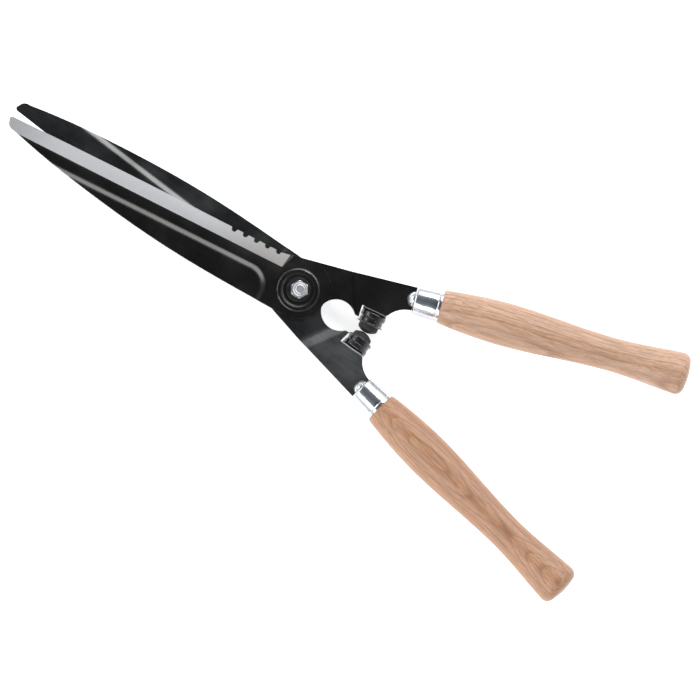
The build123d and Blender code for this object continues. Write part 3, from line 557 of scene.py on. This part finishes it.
def build_wood_grain():
    """Beech figure on the handle's own axes: growth rings, fibres, rays and dark grain specks."""
    tree, given, result = new_group(
        "wood_grain",
        [("Place", "NodeSocketVector", None), ("Ring spacing", "NodeSocketFloat", 0.0042)],
        [("Figure", "NodeSocketFloat"), ("Fibres", "NodeSocketFloat"), ("Rays", "NodeSocketFloat"),
         ("Specks", "NodeSocketFloat")],
    )
    place = given.outputs["Place"]
    sway_place = node(tree, "Mapping", None, Vector=place, Scale=(24, 24, 9))
    sway = node(tree, "TexNoise", None, Vector=sway_place.outputs[0], Scale=1.0, Detail=2.5)
    pulled = node(tree, "VectorMath", {"operation": "MULTIPLY_ADD"}, i0=sway.outputs["Color"],
                  i1=(0.005, 0.005, 0.0), i2=place)
    flat = node(tree, "VectorMath", {"operation": "MULTIPLY"}, i0=pulled.outputs[0], i1=(1, 1, 0))
    radius = node(tree, "VectorMath", {"operation": "LENGTH"}, i0=flat.outputs[0])
    count = node(tree, "Math", {"operation": "DIVIDE"}, i0=radius.outputs["Value"],
                 i1=given.outputs["Ring spacing"])
    rings = node(tree, "Math", {"operation": "FRACT"}, i0=count.outputs[0])
    fibre_place = node(tree, "Mapping", None, Vector=place, Scale=(1000, 1000, 38))
    fibres = node(tree, "TexNoise", None, Vector=fibre_place.outputs[0], Scale=1.0, Detail=3.0, Roughness=0.7)
    ray_place = node(tree, "Mapping", None, Vector=place, Scale=(1300, 1300, 170))
    rays = node(tree, "TexNoise", None, Vector=ray_place.outputs[0], Scale=1.0, Detail=1.0)
    dashes = node(tree, "MapRange", None, Value=rays.outputs[0], From_Min=0.58, From_Max=0.70)
    speck_place = node(tree, "Mapping", None, Vector=place, Scale=(330, 330, 120))
    spots = node(tree, "TexVoronoi", {"feature": "F1"}, Vector=speck_place.outputs[0], Scale=1.0)
    near = node(tree, "MapRange", None, Value=spots.outputs["Distance"], From_Min=0.22, From_Max=0.06)
    length = node(tree, "SeparateXYZ", None, Vector=place)
    butt_end = node(tree, "MapRange", {"interpolation_type": "SMOOTHSTEP"}, Value=length.outputs["Z"],
                    From_Min=0.19, From_Max=0.222)
    specks = node(tree, "Math", {"operation": "MULTIPLY"}, i0=near.outputs[0], i1=butt_end.outputs[0])
    tree.links.new(rings.outputs[0], result.inputs["Figure"])
    tree.links.new(fibres.outputs[0], result.inputs["Fibres"])
    tree.links.new(dashes.outputs[0], result.inputs["Rays"])
    tree.links.new(specks.outputs[0], result.inputs["Specks"])
    return tree


wood_grain = build_wood_grain()


def beech(name, mirror, heart, spacing, tint):
    """Lacquered beech. heart is the way from the tree's centre to the handle; spacing is its rings'."""
    material, tree, shader, place = surface(name, (0.66, 0.42, 0.28), 0.0, 0.42,
                                            Coat_Weight=0.12, Coat_Roughness=0.3)
    axis = Vector((handle_along.x, handle_along.y * mirror, handle_along.z))
    turn = axis.to_track_quat("Z", "X")
    turned = node(tree, "Mapping", {"vector_type": "TEXTURE"}, Vector=place,
                  Location=(FERRULE_SHOULDER.x, FERRULE_SHOULDER.y * mirror, FERRULE_SHOULDER.z),
                  Rotation=turn.to_euler())
    centred = node(tree, "Mapping", None, Vector=turned.outputs[0],
                   Location=turn.inverted() @ Vector(heart), Rotation=(0.02, 0.015, 0))
    grain = add_group(tree, wood_grain, Place=centred.outputs[0], Ring_spacing=spacing)
    cloud = add_group(tree, cloudy_finish, Place=turned.outputs[0], Patch_scale=26.0, Tooth_scale=900.0)
    early = mix_colour(tree, cloud.outputs["Patches"], (0.70, 0.455, 0.31, 1), (0.655, 0.405, 0.27, 1))
    late = mix_colour(tree, cloud.outputs["Patches"], (0.52, 0.295, 0.18, 1), (0.49, 0.27, 0.16, 1))
    figure = ramp(tree, grain.outputs["Figure"], (0.0, 0.0), (0.62, 0.12), (0.9, 0.9), (1.0, 0.0))
    rings = mix_colour(tree, figure, early, late)
    fibre_tone = ramp(tree, grain.outputs["Fibres"], (0.36, 0.66), (0.62, 1.04))
    fibred = node(tree, "Mix", {"data_type": "RGBA", "blend_type": "MULTIPLY"},
                  i0=1.0, i6=rings, i7=fibre_tone)
    ray_weight = node(tree, "Math", {"operation": "MULTIPLY"}, i0=grain.outputs["Rays"], i1=0.5)
    rayed = mix_colour(tree, ray_weight.outputs[0], fibred.outputs[2], (0.36, 0.18, 0.10, 1))
    speck_weight = node(tree, "Math", {"operation": "MULTIPLY"}, i0=grain.outputs["Specks"], i1=0.7)
    specked = mix_colour(tree, speck_weight.outputs[0], rayed, (0.16, 0.07, 0.035, 1))
    wood = node(tree, "Mix", {"data_type": "RGBA", "blend_type": "MULTIPLY"},
                i0=1.0, i6=specked, i7=(*tint, 1))
    tree.links.new(wood.outputs[2], shader.inputs["Base Color"])
    rough = node(tree, "MapRange", None, Value=grain.outputs["Fibres"], To_Min=0.36, To_Max=0.52)
    tree.links.new(rough.outputs[0], shader.inputs["Roughness"])
    bump(tree, shader, grain.outputs["Fibres"], 0.00006, 0.6)
    return material


handle_profile = [(4.0, WOOD_START), (FERRULE_NECK - FERRULE_WALL - 1.4, WOOD_START),
                  (FERRULE_NECK - FERRULE_WALL - 0.2, WOOD_START + 1.2),
                  (FERRULE_RADIUS - FERRULE_WALL - 0.1, FERRULE_LENGTH),
                  (13.3, FERRULE_LENGTH), (13.75, FERRULE_LENGTH + 0.35)]
for i in range(BODY_STEPS + 1):
    z = HANDLE_STATIONS[0][0] + (HANDLE_STATIONS[-1][0] - HANDLE_STATIONS[0][0]) * i / BODY_STEPS
    handle_profile.append((handle_radius(z), z))
butt_radius, butt_z = handle_profile[-1]
end_radius = butt_radius - BUTT_ROUND
handle_profile += arc(end_radius, butt_z, BUTT_ROUND, 6, 84, 12)
for i in range(BUTT_STEPS):
    r = end_radius * (1 - i / BUTT_STEPS)
    handle_profile.append((r, butt_z + BUTT_ROUND + BUTT_DOME * (1 - (r / end_radius) ** 2) - 0.05))
handle = lathe("handle", handle_profile)
shade_smooth(handle, TURNED_EDGE)
front_handle, rear_handle = place_on_both_arms(handle, handle_place, "handle_beech", "handle")
front_handle.data.materials.append(beech("beech_front", 1, (0.012, 0.038, 0.012), 0.0040, (0.97, 0.94, 0.92)))
rear_handle.data.materials.append(beech("beech_rear", -1, (0.006, 0.004, 0.045), 0.0017, (0.84, 0.72, 0.62)))


# ---- Buffer cups, rubbers and rivets ----
# On each bent tab a drawn steel cup, black lacquered, holds a moulded rubber with a round
# crown. A rivet through tab and cup holds it. The two rubbers meet as the blades close.

BUFFER_SEAT = Vector((-64.0, -17.532, -2.533)) * MM     # middle of the cup's base, front arm
BUFFER_LEAN = radians(6.8)          # towards the handles
BUFFER_DIP = radians(6.785)         # downwards
CUP_BASE_RADIUS = 10.8
CUP_BASE_LENGTH = 4.6
CUP_RADIUS = 10.0
CUP_LENGTH = 10.4
CUP_WALL = 0.9
CUP_HOLE = 2.55         # for the rivet
CUP_FOOT_ROUND = 1.3    # between the cup's base and its wide band
CUP_BAND_ROUND = 0.5    # between the wide band and the narrow one
LIP_RADIUS = 11.1
LIP_THICKNESS = 1.3
PAD_RADIUS = 8.3
PAD_HEIGHT = 17.45
PAD_CROWN = 12.0
PAD_CORNER = 2.6
PAD_SHOULDER = 0.9      # the crown is this much smaller than the rubber
PAD_STEPS = 10
RIVET_SHANK = 2.5
RIVET_RADIUS = 4.6      # of its head and its tail
RIVET_HEAD = 1.8        # height of the head behind the tab
RIVET_RIM = 0.35        # straight rim of the head
RIVET_TAIL = 1.4        # height of the tail in the cup
AXIS_HOLE = 0.3         # a profile that ends on the axis stops this short of it
SHEET = 3.0


def black_lacquer():
    """Glossy black lacquer on drawn steel, with a slight orange peel."""
    material, tree, shader, place = surface("black_lacquer", (0.02, 0.02, 0.021), 0.35, 0.2,
                                            Coat_Weight=1.0, Coat_Roughness=0.06)
    cloud = add_group(tree, cloudy_finish, Place=place, Patch_scale=120.0, Tooth_scale=700.0)
    wear_and_highlight = add_group(tree, edge_wear_and_highlight, Place=place, Width=0.0004)
    black = mix_colour(tree, cloud.outputs["Patches"], (0.008, 0.008, 0.0095, 1), (0.022, 0.021, 0.022, 1))
    # Painted edge highlight mixed with edge wear: the eased edges get a slightly lighter colour, partly bare
    # metal and partly light they would catch.
    finish = mix_colour(tree, wear_and_highlight.outputs["Wear and highlight"], black, (0.09, 0.08, 0.075, 1))
    tree.links.new(finish, shader.inputs["Base Color"])
    bump(tree, shader, cloud.outputs["Tooth"], 0.00004, 0.4)
    return material


def rubber():
    """Moulded black rubber: matt, dusty, with a fine pitted skin."""
    material, tree, shader, place = surface("buffer_rubber", (0.02, 0.02, 0.018), 0.0, 0.62)
    cloud = add_group(tree, cloudy_finish, Place=place, Patch_scale=150.0, Tooth_scale=2200.0)
    tone = mix_colour(tree, cloud.outputs["Patches"], (0.007, 0.007, 0.0065, 1), (0.026, 0.025, 0.021, 1))
    tree.links.new(tone, shader.inputs["Base Color"])
    rough = node(tree, "MapRange", None, Value=cloud.outputs["Patches"], To_Min=0.5, To_Max=0.72)
    tree.links.new(rough.outputs[0], shader.inputs["Roughness"])
    bump(tree, shader, cloud.outputs["Tooth"], 0.00005, 0.6)
    return material


buffer_along = Vector((
    -sin(BUFFER_LEAN) * cos(BUFFER_DIP), cos(BUFFER_LEAN) * cos(BUFFER_DIP), -sin(BUFFER_DIP)))
buffer_normal = (sheet_normal - buffer_along * sheet_normal.dot(buffer_along)).normalized()
buffer_place = arm_place(BUFFER_SEAT, buffer_along, buffer_normal)

cup_lip = CUP_LENGTH - LIP_THICKNESS
cup_profile = [(CUP_HOLE, 0.0), (CUP_BASE_RADIUS - CUP_FOOT_ROUND - 0.1, 0.0)]
cup_profile += arc(CUP_BASE_RADIUS - CUP_FOOT_ROUND, CUP_FOOT_ROUND, CUP_FOOT_ROUND, -80, 0, 6)
cup_profile += arc(
    CUP_BASE_RADIUS - CUP_BAND_ROUND, CUP_BASE_LENGTH - CUP_BAND_ROUND, CUP_BAND_ROUND, 0, 70, 4)
cup_profile += [(CUP_RADIUS - 0.35, CUP_BASE_LENGTH + 0.5), (CUP_RADIUS - 0.3, CUP_BASE_LENGTH + 0.9),
                (CUP_RADIUS - 0.05, CUP_BASE_LENGTH + 1.4), (CUP_RADIUS, CUP_BASE_LENGTH + 2.4),
                (CUP_RADIUS, cup_lip - 0.5), (CUP_RADIUS + 0.15, cup_lip - 0.15), (CUP_RADIUS + 0.5, cup_lip)]
lip_round = LIP_THICKNESS / 2
cup_profile += arc(LIP_RADIUS - lip_round, cup_lip + lip_round, lip_round, -80, 90, 8)
cup_profile += [(CUP_RADIUS - CUP_WALL + 0.3, CUP_LENGTH), (CUP_RADIUS - CUP_WALL, CUP_LENGTH - 0.3),
                (CUP_RADIUS - CUP_WALL, CUP_WALL), (CUP_HOLE, CUP_WALL), (CUP_HOLE, 0.0)]
cup = lathe("cup", cup_profile, ring=True)
shade_smooth(cup, TURNED_EDGE)
cup.data.materials.append(black_lacquer())
place_on_both_arms(cup, buffer_place, "buffer_cup_black", "buffer_cup")

crown_centre = PAD_HEIGHT - PAD_CROWN
pad_rim = PAD_RADIUS - PAD_SHOULDER
tail_room = CUP_WALL + RIVET_TAIL + 0.05
pad_profile = [(AXIS_HOLE, tail_room), (RIVET_RADIUS + 0.1, tail_room), (RIVET_RADIUS + 0.1, CUP_WALL + 0.1),
               (CUP_RADIUS - CUP_WALL - 0.1, CUP_WALL + 0.1),
               (CUP_RADIUS - CUP_WALL - 0.1, CUP_LENGTH - 0.2), (PAD_RADIUS + 0.15, CUP_LENGTH + 0.1),
               (PAD_RADIUS, CUP_LENGTH + 0.5)]
rim_z = crown_centre + sqrt(PAD_CROWN ** 2 - pad_rim ** 2)
for i in range(6):
    angle = pi / 2 * i / 6
    pad_profile.append((pad_rim + PAD_SHOULDER * cos(angle), rim_z - PAD_CORNER * (1 - sin(angle))))
for i in range(PAD_STEPS + 1):
    r = pad_rim * (1 - i / PAD_STEPS) + AXIS_HOLE / 2
    pad_profile.append((r, crown_centre + sqrt(PAD_CROWN ** 2 - r ** 2)))
pad = lathe("pad", pad_profile)
shade_smooth(pad, TURNED_EDGE)
pad.data.materials.append(rubber())
place_on_both_arms(pad, buffer_place, "buffer_pad_rubber", "buffer_pad")

rivet_profile = [(AXIS_HOLE, -SHEET - RIVET_HEAD)]
for i in range(1, 9):
    angle = pi / 2 * i / 8
    dome = (RIVET_HEAD - RIVET_RIM) * cos(angle)
    rivet_profile.append((RIVET_RADIUS * sin(angle), -SHEET - RIVET_RIM - dome))
rivet_profile += [(RIVET_RADIUS, -SHEET - 0.1), (RIVET_RADIUS - 0.1, -SHEET),
                  (RIVET_SHANK, -SHEET), (RIVET_SHANK, CUP_WALL),
                  (RIVET_RADIUS - 0.2, CUP_WALL), (RIVET_RADIUS, CUP_WALL + 0.2),
                  (RIVET_RADIUS, CUP_WALL + RIVET_TAIL - 0.3), (RIVET_RADIUS - 0.3, CUP_WALL + RIVET_TAIL),
                  (AXIS_HOLE, CUP_WALL + RIVET_TAIL)]
rivet = lathe("rivet", rivet_profile, 48)
shade_smooth(rivet, TURNED_EDGE)
rivet.data.materials.append(zinc)
place_on_both_arms(rivet, buffer_place, "buffer_rivet_zinc", "buffer_rivet")


# ---- Table, lights and camera ----
# A white table with white walls round it and a dark ceiling, three soft boxes, and a camera
# that looks almost straight down from the nut side.

FLOOR_SIZE = 6.0
lowest = cad_box[0].z

bpy.ops.object.select_all(action="DESELECT")
bpy.ops.mesh.primitive_plane_add(size=FLOOR_SIZE, location=(0, 0, lowest))
floor = bpy.context.object
floor.name = "table"
bpy.ops.object.transform_apply(location=True)
table_top, tree, shader, place = surface("white_table", (0.86, 0.86, 0.86), 0.0, 0.8)
shader.inputs["Emission Color"].default_value = (1, 1, 1, 1)
shader.inputs["Emission Strength"].default_value = 0.7
floor.data.materials.append(table_top)

world = bpy.data.worlds.new("studio")
world.use_nodes = True
bpy.context.scene.world = world
tree = world.node_tree
direction = node(tree, "TexCoord").outputs["Generated"]
height = node(tree, "SeparateXYZ", None, Vector=direction).outputs["Z"]
sky = ramp(tree, height, (0.0, (0.95, 0.96, 0.98)), (0.42, (0.78, 0.81, 0.86)),
           (0.75, (0.26, 0.28, 0.31)), (1.0, (0.07, 0.075, 0.085)))
tree.links.new(sky, tree.nodes["Background"].inputs[0])
tree.nodes["Background"].inputs[1].default_value = 1.0

CAMERA_TILT = (radians(-6.88), radians(7.41))
CAMERA_ROLL = radians(211)
AIM = Vector((-0.0613, 0.0198, 0))
CAMERA_DISTANCE = 2.025

tilt = Matrix.Rotation(CAMERA_TILT[1], 3, "Y") @ Matrix.Rotation(CAMERA_TILT[0], 3, "X")
camera_data = bpy.data.cameras.new("camera")
camera = bpy.data.objects.new("camera", camera_data)
bpy.context.collection.objects.link(camera)
camera_data.lens = 128.6
camera.matrix_world = (tilt @ Matrix.Rotation(CAMERA_ROLL, 3, "Z")).to_4x4()
camera.location = tilt @ (AIM + Vector((0, 0, CAMERA_DISTANCE)))
bpy.context.scene.camera = camera


def soft_box(name, azimuth, elevation, distance, width, height, power):
    """Rectangular soft light aimed at the middle of the shears. Azimuth is turned from +X."""
    data = bpy.data.lights.new(name, "AREA")
    data.shape = "RECTANGLE"
    data.size, data.size_y, data.energy = width, height, power
    light = bpy.data.objects.new(name, data)
    bpy.context.collection.objects.link(light)
    a, e = radians(azimuth), radians(elevation)
    back = Vector((cos(a) * cos(e), sin(a) * cos(e), sin(e)))
    light.location = back * distance
    light.rotation_euler = back.to_track_quat("Z", "Y").to_euler()


soft_box("soft_box_far", -95, 40, 1.3, 1.4, 0.75, 11.5)
soft_box("soft_box_near", 80, 38, 1.3, 1.2, 0.5, 7.0)
soft_box("soft_box_side", 10, 34, 1.4, 0.9, 0.5, 3.0)

bpy.context.scene.view_settings.view_transform = "Standard"
